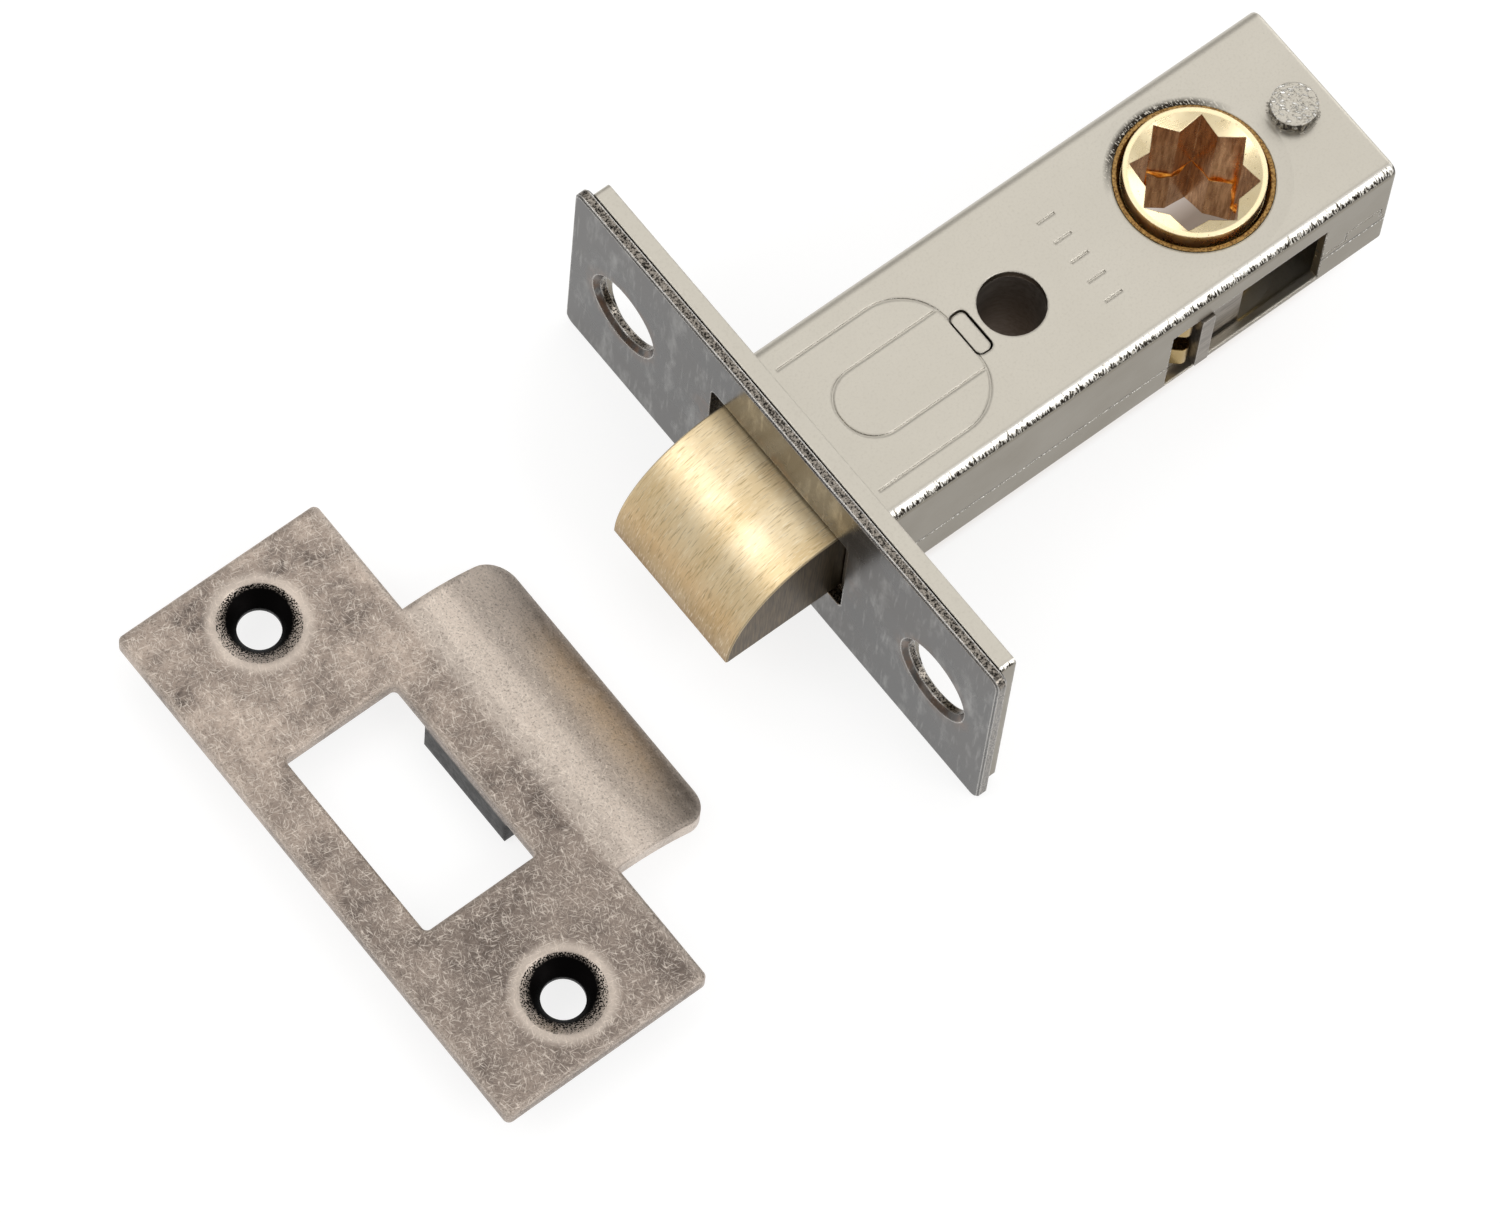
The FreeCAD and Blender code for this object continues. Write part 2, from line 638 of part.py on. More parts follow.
# ---------------------------------------------------------------- strike plate
def strike_lip():
    """The lip that the bolt rides up: it leaves the plate level and curls down on one radius."""
    x_edge = strike_centre_x - strike_width / 2
    y0 = strike_offset_y - strike_lip_width / 2
    root_x = x_edge + strike_thickness
    centre_z = strike_top_z - strike_lip_radius
    sweep = math.degrees(math.asin(strike_lip_reach / strike_lip_radius))

    def arc(radius):
        ends = []
        for degrees in (90, 90 + sweep / 2, 90 + sweep):
            x, z = polar(radius, degrees)
            ends.append(V(x_edge + x, y0, centre_z + z))
        return Part.Arc(*ends).toShape(), ends[0], ends[2]

    top, top_root, top_end = arc(strike_lip_radius)
    bottom, bottom_root, bottom_end = arc(strike_lip_radius - strike_thickness)
    inner_top, inner_bottom = V(root_x, y0, strike_top_z), V(root_x, y0, strike_bottom_z)
    edges = [Part.makeLine(inner_top, top_root), top, Part.makeLine(top_end, bottom_end), bottom,
             Part.makeLine(bottom_root, inner_bottom), Part.makeLine(inner_bottom, inner_top)]
    lip = Part.Face(Part.Wire(Part.__sortEdges__(edges))).extrude(V(0, strike_lip_width, 0))
    outline = plate_z(x_edge - strike_lip_reach, root_x + strike_lip_corner, y0, y0 + strike_lip_width,
                      strike_bottom_z - strike_lip_drop, strike_top_z, strike_lip_corner)
    return lip.common(outline)


def strike_plate():
    half_length, half_width = strike_length / 2, strike_width / 2
    x0, x1 = strike_centre_x - half_width, strike_centre_x + half_width
    plate = plate_z(x0, x1, strike_offset_y - half_length, strike_offset_y + half_length,
                    strike_bottom_z, strike_top_z, strike_corner)
    opening_x0 = x0 + strike_rim
    half_opening = strike_opening_length / 2
    opening = plate_z(opening_x0, opening_x0 + strike_opening_width, strike_offset_y - half_opening,
                      strike_offset_y + half_opening, strike_bottom_z, strike_top_z, strike_opening_corner)
    plate = plate.cut(opening)
    worn = [e for e in plate.Edges if min(abs(e.BoundBox.ZMin - strike_top_z),
                                          abs(e.BoundBox.ZMax - strike_bottom_z)) < touching]
    plate = plate.makeFillet(strike_edge_round, worn)
    tab = block(opening_x0 - strike_tab_thickness, opening_x0,
                strike_offset_y - strike_tab_length / 2, strike_offset_y + strike_tab_length / 2,
                strike_bottom_z - strike_tab_depth, strike_bottom_z + strike_edge_round)
    plate = plate.fuse([strike_lip(), tab])
    hole_radius = strike_screw_hole_diameter / 2
    for side in (-1, 1):
        y = strike_offset_y + side * strike_screw_spacing / 2
        hole = rod_z(hole_radius, strike_bottom_z, strike_top_z, strike_centre_x, y)
        cone = Part.makeCone(hole_radius, strike_countersink_diameter / 2, strike_countersink_depth,
                             V(strike_centre_x, y, strike_top_z - strike_countersink_depth), V(0, 0, 1))
        plate = plate.cut([hole, cone])
    return plate.removeSplitter()


# ---------------------------------------------------------------- every node
nodes = {
    "outer_forend": outer_forend(),
    "inner_forend": inner_forend(),
    "case_upper_shell": case_upper_shell(),
    "case_lower_shell": case_lower_shell(),
    "rear_rivet": rear_rivet(),
    "rear_spacer": rear_spacer(),
    "spring_abutment": spring_abutment(),
    "bolt_through_sleeve": bolt_through_sleeve(),
    "spring_guide_pin": spring_guide_pin(),
    "spring_washer": spring_washer(),
    "upper_follower_bush": follower_bush(1),
    "lower_follower_bush": follower_bush(-1),
    "follower_upper_half": follower_half(1),
    "follower_lower_half": follower_half(-1),
    "bolt_head": bolt_head(),
    "drawbar": drawbar(),
    "drawbar_rivets": drawbar_rivets(),
    "bolt_spring": bolt_spring(),
    "strike_plate": strike_plate(),
}

for node, shape in nodes.items():
    shape.exportStep("parts/" + node + ".step")
    print(node, "solids", len(shape.Solids), "valid", shape.isValid(), "volume", round(shape.Volume, 2))
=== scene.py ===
import json
import math
import random

import bmesh
import bpy
from mathutils import Matrix, Vector


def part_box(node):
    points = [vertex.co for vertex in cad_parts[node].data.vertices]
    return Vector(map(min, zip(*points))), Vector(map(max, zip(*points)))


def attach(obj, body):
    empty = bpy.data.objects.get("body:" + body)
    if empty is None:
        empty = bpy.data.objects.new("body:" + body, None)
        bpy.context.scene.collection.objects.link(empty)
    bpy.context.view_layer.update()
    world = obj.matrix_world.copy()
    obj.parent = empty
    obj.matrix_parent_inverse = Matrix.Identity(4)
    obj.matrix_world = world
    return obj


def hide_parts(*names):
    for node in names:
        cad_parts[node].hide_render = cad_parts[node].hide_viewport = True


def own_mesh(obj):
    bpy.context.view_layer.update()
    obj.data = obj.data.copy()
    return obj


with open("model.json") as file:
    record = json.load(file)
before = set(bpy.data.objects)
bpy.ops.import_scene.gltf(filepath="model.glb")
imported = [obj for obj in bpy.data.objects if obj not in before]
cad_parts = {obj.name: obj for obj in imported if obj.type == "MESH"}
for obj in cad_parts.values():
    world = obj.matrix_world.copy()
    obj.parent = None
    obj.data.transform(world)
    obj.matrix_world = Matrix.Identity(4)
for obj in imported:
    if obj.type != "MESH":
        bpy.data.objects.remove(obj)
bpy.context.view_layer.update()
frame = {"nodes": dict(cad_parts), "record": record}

mm = 0.001
print("frame loaded:", len(frame["nodes"]), "CAD nodes")


# places that more than one piece or finish needs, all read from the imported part
def mount(name):
    found = [m for m in frame["record"]["mounts"] if m["name"] == name][0]
    return Vector(found["pos_m"]), found["dims"]


def centre(node):
    low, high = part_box(node)
    return (low + high) / 2


followerAxis = centre("upper_follower_bush")
rivetAxis = centre("rear_rivet")
strikeCentre, strikeDims = mount("strike_screws")
forendCentre, forendDims = mount("forend_screws")


def linear(hexText):
    # sRGB hex to the linear colour that the shaders work in
    channels = [int(hexText[i:i + 2], 16) / 255 for i in (1, 3, 5)]
    return tuple(c / 12.92 if c <= 0.04045 else ((c + 0.055) / 1.055) ** 2.4 for c in channels) + (1.0,)


def addNode(tree, kind, inputs=None, **settings):
    # one node with its settings; each input is a fixed value or another node's socket
    node = tree.nodes.new(kind)
    for name, value in settings.items():
        setattr(node, name, value)
    for socket, value in (inputs or {}).items():
        if isinstance(value, bpy.types.NodeSocket):
            tree.links.new(value, node.inputs[socket])
        else:
            node.inputs[socket].default_value = value
    return node


def newMaterial(name):
    # an empty tree with places in millimetres and the surface's true direction ready
    material = bpy.data.materials.new(name)
    material.use_nodes = True
    tree = material.node_tree
    tree.nodes.clear()
    place = addNode(tree, "ShaderNodeTexCoord")
    inMm = addNode(tree, "ShaderNodeVectorMath", {0: place.outputs["Object"], 1: (1 / mm,) * 3},
                   operation="MULTIPLY")
    facing = addNode(tree, "ShaderNodeNewGeometry")
    return material, tree, inMm.outputs[0], facing.outputs["Normal"]


def edgeWear(tree, facing, radiusMm, sharpness):
    # 1 on worn corners, 0 on the flats: how far a rounded normal leaves the true one
    rounded = addNode(tree, "ShaderNodeBevel", {"Radius": radiusMm * mm}, samples=4)
    together = addNode(tree, "ShaderNodeVectorMath", {0: rounded.outputs[0], 1: facing},
                       operation="DOT_PRODUCT")
    edge = addNode(tree, "ShaderNodeMapRange",
                   {0: together.outputs["Value"], 1: 1.0, 2: 1.0 - sharpness, 3: 0.0, 4: 1.0})
    return edge.outputs[0], rounded.outputs[0]


def facingShare(tree, facing, axis, low, high):
    # how squarely the surface faces along an axis, either way, from 0 at low to 1 at high
    parts = addNode(tree, "ShaderNodeSeparateXYZ", {0: facing})
    size = addNode(tree, "ShaderNodeMath", {0: parts.outputs[axis]}, operation="ABSOLUTE")
    return addNode(tree, "ShaderNodeMapRange", {0: size.outputs[0], 1: low, 2: high}).outputs[0]


def along(tree, inMm, axis, lowMm, highMm):
    # from 0 at lowMm to 1 at highMm along an axis
    parts = addNode(tree, "ShaderNodeSeparateXYZ", {0: inMm})
    return addNode(tree, "ShaderNodeMapRange", {0: parts.outputs[axis], 1: lowMm, 2: highMm}).outputs[0]


def fromAxis(tree, inMm, point, across):
    # the distance in millimetres from a line through point; across is 1 on the axes that count
    offset = addNode(tree, "ShaderNodeVectorMath", {0: inMm, 1: tuple(point / mm)}, operation="SUBTRACT")
    flat = addNode(tree, "ShaderNodeVectorMath", {0: offset.outputs[0], 1: across}, operation="MULTIPLY")
    away = addNode(tree, "ShaderNodeVectorMath", {0: flat.outputs[0]}, operation="LENGTH")
    return away.outputs["Value"]


def nearAxis(tree, inMm, point, across, nearMm, farMm):
    # 1 within nearMm of a line through point, 0 beyond farMm
    away = fromAxis(tree, inMm, point, across)
    return addNode(tree, "ShaderNodeMapRange", {0: away, 1: nearMm, 2: farMm, 3: 1.0, 4: 0.0}).outputs[0]


def speckle(tree, inMm, sizeMm, low, high, most=1.0, stretch=(1, 1, 1), turn=0.0, shift=0.0, detail=3.0,
            rough=0.6):
    # a mottled pattern with features sizeMm across, 0 where it is under low and most where it is over
    # high; turned about Z first, then drawn out along the axes where stretch is below 1
    turned = addNode(tree, "ShaderNodeMapping", {0: inMm, "Location": (shift, shift, shift),
                                                 "Rotation": (0, 0, turn)})
    drawn = addNode(tree, "ShaderNodeMapping", {0: turned.outputs[0], "Scale": stretch})
    noise = addNode(tree, "ShaderNodeTexNoise", {"Vector": drawn.outputs[0], "Scale": 1 / sizeMm,
                                                 "Detail": detail, "Roughness": rough})
    return addNode(tree, "ShaderNodeMapRange",
                   {0: noise.outputs["Fac"], 1: low, 2: high, 3: 0.0, 4: most}).outputs[0]


def layOver(tree, under, over, *shares):
    # over shows on top of under where every share says so; colours are hex or sockets
    share = shares[0]
    for more in shares[1:]:
        share = addNode(tree, "ShaderNodeMath", {0: share, 1: more}, operation="MULTIPLY").outputs[0]
    first, second = [linear(c) if isinstance(c, str) else c for c in (under, over)]
    return addNode(tree, "ShaderNodeMix", {0: share, 6: first, 7: second}, data_type="RGBA").outputs[2]


def metalSurface(tree, colour, roughness, rounded, reliefs):
    # bare or plated metal: roughness is a pattern with its two ends, and each relief is a
    # pattern with its depth in millimetres
    height = 0.0
    for pattern, depthMm in reliefs:
        height = addNode(tree, "ShaderNodeMath", {0: pattern, 1: depthMm, 2: height},
                         operation="MULTIPLY_ADD").outputs[0]
    bump = addNode(tree, "ShaderNodeBump",
                   {"Strength": 1.0, "Distance": mm, "Height": height, "Normal": rounded})
    pattern, smooth, dull = roughness
    satin = addNode(tree, "ShaderNodeMapRange", {0: pattern, 3: smooth, 4: dull})
    surface = addNode(tree, "ShaderNodeBsdfPrincipled",
                      {"Metallic": 1.0, "Base Color": colour, "Roughness": satin.outputs[0],
                       "Normal": bump.outputs[0]})
    addNode(tree, "ShaderNodeOutputMaterial", {"Surface": surface.outputs["BSDF"]})


nickel = {
    "bright": "#C6C1B6", "dull": "#BFBAAF", "grainy": "#AFA99E", "wall": "#857E71", "paintedHighlight": "#FFFDF8",
    "speck": "#2E2923", "shadow": "#7B7469", "edgeMm": 0.3, "edgeSharpness": 0.14,
    "cloud": dict(sizeMm=9.0, low=0.35, high=0.65),
    "grain": dict(sizeMm=0.24, low=0.50, high=0.72, most=0.35),
    "wallFacing": (0.45, 0.2), "pinholeSpacingMm": 1.5, "pinholeMm": 0.05, "pinholeDark": 0.6,
    "pinholeFew": (0.85, 0.9),
    "spikeReach": 0.5, "bendSide": (0.15, 0.4), "bendLit": (0.90, 1.02), "litShare": 0.85,
    "bendShadeRange": (0.98, 0.84), "bendEnd": (0.22, 0.42),
    "spikes": dict(sizeMm=0.17, low=0.35, high=0.65, stretch=(1, 0.25, 0.25), detail=2.0),
    "creases": dict(sizeMm=0.15, low=0.38, high=0.46, stretch=(1, 0.4, 0.4), detail=2.0),
    "edgeSpecks": dict(sizeMm=0.17, low=0.53, high=0.64, most=0.85, detail=2.0),
    "edgeGlints": dict(sizeMm=0.19, low=0.52, high=0.62, most=0.8, detail=2.0, shift=40.0),
    "peel": dict(sizeMm=0.5, low=0.3, high=0.7, detail=2.0), "peelDepthMm": 0.0025,
    "creaseDepthMm": 0.02, "dishRadiiMm": (7.15, 8.6), "dishDepthMm": 0.1,
    "dishShadeMm": (7.4, 7.9), "dishRearMm": (-3.0, -6.0), "headMm": (2.3, 2.4), "headRiseMm": 0.1,
    "rubbedGlints": dict(sizeMm=0.2, low=0.54, high=0.64, turn=0.9, stretch=(0.4, 1, 1), shift=12.0),
    "headPits": dict(sizeMm=0.2, low=0.54, high=0.66, most=0.9, shift=27.0),
    "headSide": dict(sizeMm=0.3, low=0.42, high=0.54, stretch=(1, 1, 0.4)), "headDepthMm": 0.08,
    "seamLine": dict(sizeMm=0.6, low=0.35, high=0.5, most=0.85, stretch=(0.3, 1, 1), detail=2.0),
    "seamGlints": dict(sizeMm=0.25, low=0.52, high=0.6, shift=9.0, detail=2.0),
    "seamMm": (0.10, 0.16), "seamStartMm": (0.05, 0.1), "seamGlintMm": (0.08, 0.14), "seamGlintDropMm": 0.2,
    "smooth": 0.30, "satin": 0.38,
}


def satinNickelPlate():
    # nickel plated in a barrel over pressed sheet: a warm pale satin with a faint orange peel and a few
    # pinholes; creases cross the bend on one side, as a painted highlight in bright spikes over painted
    # shade in dark ones; sheared edges are speckled, with painted glints; the rivet's cropped head is
    # rubbed rough, with painted glints and painted shade; the side walls are painted darker as painted
    # shade
    material, tree, inMm, facing = newMaterial("satinNickelPlate")
    edge, rounded = edgeWear(tree, facing, nickel["edgeMm"], nickel["edgeSharpness"])
    cloud = speckle(tree, inMm, **nickel["cloud"])
    colour = layOver(tree, nickel["dull"], nickel["bright"], cloud)
    colour = layOver(tree, colour, nickel["grainy"], speckle(tree, inMm, **nickel["grain"]))
    # the walls, facing sideways, are painted darker: painted shade
    wall = facingShare(tree, facing, 2, *nickel["wallFacing"])
    colour = layOver(tree, colour, nickel["wall"], wall)
    holes = addNode(tree, "ShaderNodeTexVoronoi", {"Vector": inMm, "Scale": 1 / nickel["pinholeSpacingMm"]})
    inHole = addNode(tree, "ShaderNodeMapRange",
                     {0: holes.outputs["Distance"], 1: nickel["pinholeMm"], 2: 0.0,
                      4: nickel["pinholeDark"]})
    chosen = addNode(tree, "ShaderNodeTexWhiteNoise", {"Vector": holes.outputs["Position"]})
    fewFrom, fewTo = nickel["pinholeFew"]
    few = addNode(tree, "ShaderNodeMapRange", {0: chosen.outputs["Value"], 1: fewFrom, 2: fewTo})
    colour = layOver(tree, colour, nickel["speck"], inHole.outputs[0], few.outputs[0])
    # the bend: painted highlight and painted shade from its angle, roughened so that the lit and the dark
    # part meet in spikes
    parts = addNode(tree, "ShaderNodeSeparateXYZ", {0: facing})
    spikes = speckle(tree, inMm, **nickel["spikes"])
    upright = addNode(tree, "ShaderNodeMath", {0: parts.outputs[2]}, operation="ABSOLUTE")
    level = addNode(tree, "ShaderNodeMath", {0: spikes, 1: nickel["spikeReach"], 2: upright.outputs[0]},
                    operation="MULTIPLY_ADD")
    onBend, lit, bendShade, stillBent = [
        addNode(tree, "ShaderNodeMapRange",
                {0: angle.outputs[socket], 1: nickel[band][0], 2: nickel[band][1]})
        for angle, socket, band in ((parts, 1, "bendSide"), (level, 0, "bendLit"), (level, 0, "bendShadeRange"),
                                    (upright, 0, "bendEnd"))]
    creases = speckle(tree, inMm, **nickel["creases"])
    colour = layOver(tree, colour, nickel["paintedHighlight"], onBend.outputs[0], lit.outputs[0], nickel["litShare"])
    colour = layOver(tree, colour, nickel["speck"], onBend.outputs[0], bendShade.outputs[0],
                     stillBent.outputs[0], creases)
    # sheared edges on the walls: dark specks, and glints painted on as painted highlights
    torn = addNode(tree, "ShaderNodeMath", {0: edge, 1: wall}, operation="MULTIPLY").outputs[0]
    colour = layOver(tree, colour, nickel["speck"], torn, speckle(tree, inMm, **nickel["edgeSpecks"]))
    colour = layOver(tree, colour, nickel["paintedHighlight"], torn, speckle(tree, inMm, **nickel["edgeGlints"]))
    # the long seam in front of the window: a dark line painted along it as painted shade in the seam gap,
    # with painted glints on its lower lip
    seam = Vector((0, 0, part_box("case_upper_shell")[0].z))
    lowerLip = seam - Vector((0, 0, nickel["seamGlintDropMm"] * mm))
    onSeam = nearAxis(tree, inMm, seam, (0, 0, 1), *nickel["seamMm"])
    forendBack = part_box("inner_forend")[0].x / mm
    onCase = along(tree, inMm, 0, *[forendBack - gapMm for gapMm in nickel["seamStartMm"]])
    onCaseWall = addNode(tree, "ShaderNodeMath", {0: onCase, 1: wall}, operation="MULTIPLY").outputs[0]
    colour = layOver(tree, colour, nickel["speck"], onSeam, onCaseWall,
                     speckle(tree, inMm, **nickel["seamLine"]))
    colour = layOver(tree, colour, nickel["paintedHighlight"], onCaseWall, speckle(tree, inMm, **nickel["seamGlints"]),
                     nearAxis(tree, inMm, lowerLip, (0, 0, 1), *nickel["seamGlintMm"]))
    # the shallow dish that the pressed bush left, with dark specks painted on its -Y side as painted shade
    # in its creases
    dish = nearAxis(tree, inMm, followerAxis, (1, 1, 0), *nickel["dishRadiiMm"])
    rearSide = along(tree, inMm, 1, *nickel["dishRearMm"])
    innerDish = nearAxis(tree, inMm, followerAxis, (1, 1, 0), *nickel["dishShadeMm"])
    colour = layOver(tree, colour, nickel["speck"], innerDish, rearSide, creases)
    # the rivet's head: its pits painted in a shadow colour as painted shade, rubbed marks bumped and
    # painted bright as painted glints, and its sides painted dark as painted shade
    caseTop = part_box("case_upper_shell")[1].z / mm
    onRivet = nearAxis(tree, inMm, rivetAxis, (1, 1, 0), *nickel["headMm"])
    proud = along(tree, inMm, 2, caseTop, caseTop + nickel["headRiseMm"])
    colour = layOver(tree, colour, nickel["shadow"], onRivet, proud,
                     speckle(tree, inMm, **nickel["headPits"]))
    rubbedGlints = speckle(tree, inMm, **nickel["rubbedGlints"])
    colour = layOver(tree, colour, nickel["paintedHighlight"], onRivet, proud, rubbedGlints)
    colour = layOver(tree, colour, nickel["speck"], onRivet, proud, wall,
                     speckle(tree, inMm, **nickel["headSide"]))
    onHead = addNode(tree, "ShaderNodeMath", {0: onRivet, 1: rubbedGlints}, operation="MULTIPLY").outputs[0]
    tornHeight = addNode(tree, "ShaderNodeMath", {0: torn, 1: spikes}, operation="MULTIPLY").outputs[0]
    peel = speckle(tree, inMm, **nickel["peel"])
    metalSurface(tree, colour, (cloud, nickel["smooth"], nickel["satin"]), rounded,
                 [(peel, nickel["peelDepthMm"]), (dish, nickel["dishDepthMm"]),
                  (onHead, nickel["headDepthMm"]), (tornHeight, nickel["creaseDepthMm"])])
    return material


stained = {
    "grey": "#5C5A58", "dark": "#474645", "pale": "#A09F9C", "rustAndBrassReflection": "#74563F", "shear": "#958E85",
    "black": "#191715", "worn": "#EFECE7", "edgeMm": 0.2, "edgeSharpness": 0.12,
    "cloud": dict(sizeMm=7.0, low=0.35, high=0.65, stretch=(1, 0.6, 1), detail=4.0),
    "streaks": dict(sizeMm=2.2, low=0.52, high=0.80, most=0.7, stretch=(1, 1, 0.35), detail=5.0,
                    rough=0.65),
    "wisps": dict(sizeMm=0.5, low=0.58, high=0.78, most=0.5, stretch=(1, 1, 0.12), detail=3.0, shift=21.0),
    "bloom": dict(sizeMm=1.8, low=0.42, high=0.66, most=0.55, detail=4.0, shift=33.0),
    "tearing": dict(sizeMm=0.2, low=0.42, high=0.58, detail=3.0, rough=0.7),
    "holeRadiiMm": (4.1, 5.4), "slotReachMm": (6.0, 7.4), "slotSquash": 0.62,
    "rolling": dict(sizeMm=0.2, low=0.3, high=0.7, stretch=(1, 0.06, 1), detail=2.0),
    "rollingDepthMm": 0.0015,
    "cutFacing": (0.5, 0.3), "wornShare": 0.85, "smooth": 0.22, "satin": 0.34,
}


def stainedSteel():
    # cold rolled steel left oily: mid grey with cloudy paler wisps, brown bloom round the screw holes, a
    # brown painted reflection of the brass bolt round the slot, and sheared thickness faces torn black
    # between two bright lines that are painted highlights along the edges
    material, tree, inMm, facing = newMaterial("stainedSteel")
    edge, rounded = edgeWear(tree, facing, stained["edgeMm"], stained["edgeSharpness"])
    cloud = speckle(tree, inMm, **stained["cloud"])
    colour = layOver(tree, stained["dark"], stained["grey"], cloud)
    colour = layOver(tree, colour, stained["pale"], speckle(tree, inMm, **stained["streaks"]))
    colour = layOver(tree, colour, stained["pale"], speckle(tree, inMm, **stained["wisps"]))
    bloom = speckle(tree, inMm, **stained["bloom"])
    halfPitch = Vector((0, forendDims["spacing_x_mm"] * mm / 2, 0))
    for side in (-1, 1):
        ring = nearAxis(tree, inMm, forendCentre + side * halfPitch, (0, 1, 1), *stained["holeRadiiMm"])
        colour = layOver(tree, colour, stained["rustAndBrassReflection"], ring, bloom)
    # round the slot the brown is a painted reflection of the brass bolt
    slot = nearAxis(tree, inMm, forendCentre, (0, stained["slotSquash"], 1), *stained["slotReachMm"])
    colour = layOver(tree, colour, stained["rustAndBrassReflection"], slot, bloom)
    cut = facingShare(tree, facing, 0, *stained["cutFacing"])
    torn = layOver(tree, stained["shear"], stained["black"], speckle(tree, inMm, **stained["tearing"]))
    colour = layOver(tree, colour, torn, cut)
    # the edges painted near white: a painted highlight
    colour = layOver(tree, colour, stained["worn"], edge, stained["wornShare"])
    rolling = speckle(tree, inMm, **stained["rolling"])
    metalSurface(tree, colour, (cloud, stained["smooth"], stained["satin"]), rounded,
                 [(rolling, stained["rollingDepthMm"])])
    return material


pewter = {
    "deep": "#6A605A", "mid": "#9C8E83", "light": "#C6B6A9", "hair": "#EFE4D8", "black": "#090808",
    "worn": "#DDD0C4", "dust": "#5A514B", "tab": "#1D1B1A", "wornBandMm": 1.0, "wornSharpness": 0.22,
    "wornShare": 0.75,
    "patches": dict(sizeMm=5.0, low=0.36, high=0.62, detail=3.0),
    "mottle": dict(sizeMm=0.8, low=0.40, high=0.62, most=0.75, detail=5.0, rough=0.72, shift=13.0),
    "dustGrains": dict(sizeMm=0.2, low=0.52, high=0.66, most=0.55, rough=0.7),
    "hairs": dict(sizeMm=0.12, low=0.60, high=0.76, most=0.5, stretch=(0.13, 1, 1), detail=1.0),
    "hairTurns": (0.2, 0.8, 1.4, 2.0, 2.6), "hairShiftMm": 11.0,
    "sinkSpeckle": dict(sizeMm=0.14, low=0.40, high=0.60, shift=5.0, detail=2.0),
    "ringMm": (4.2, 5.0), "rimHighlightShare": 0.6, "soakWeight": 0.55, "soakClosing": (0.75, 0.95),
    "sinkMm": (3.7, 3.75), "soakMm": (3.0, 4.0), "blackMm": (2.8, 3.3),
    "darkEndMm": (-14.0, 16.0), "darkEndShare": 0.55, "soakShiftMm": (-0.33, -0.44, 0.0),
    "lipBandMm": 4.7, "lipBandStart": 1.9, "lipBanded": (0.4, 0.9), "lipBandShade": 0.25,
    "lipWander": 1.5, "lipRootMm": (1.0, -0.5), "lipPaintedPale": 0.8,
    "tabHalfMm": (7.0, 7.4), "tabTopMm": (1.3, 1.9),
    "dents": dict(sizeMm=0.35, low=0.3, high=0.7, rough=0.6), "dentDepthMm": 0.006,
    "smooth": 0.36, "satin": 0.48,
}


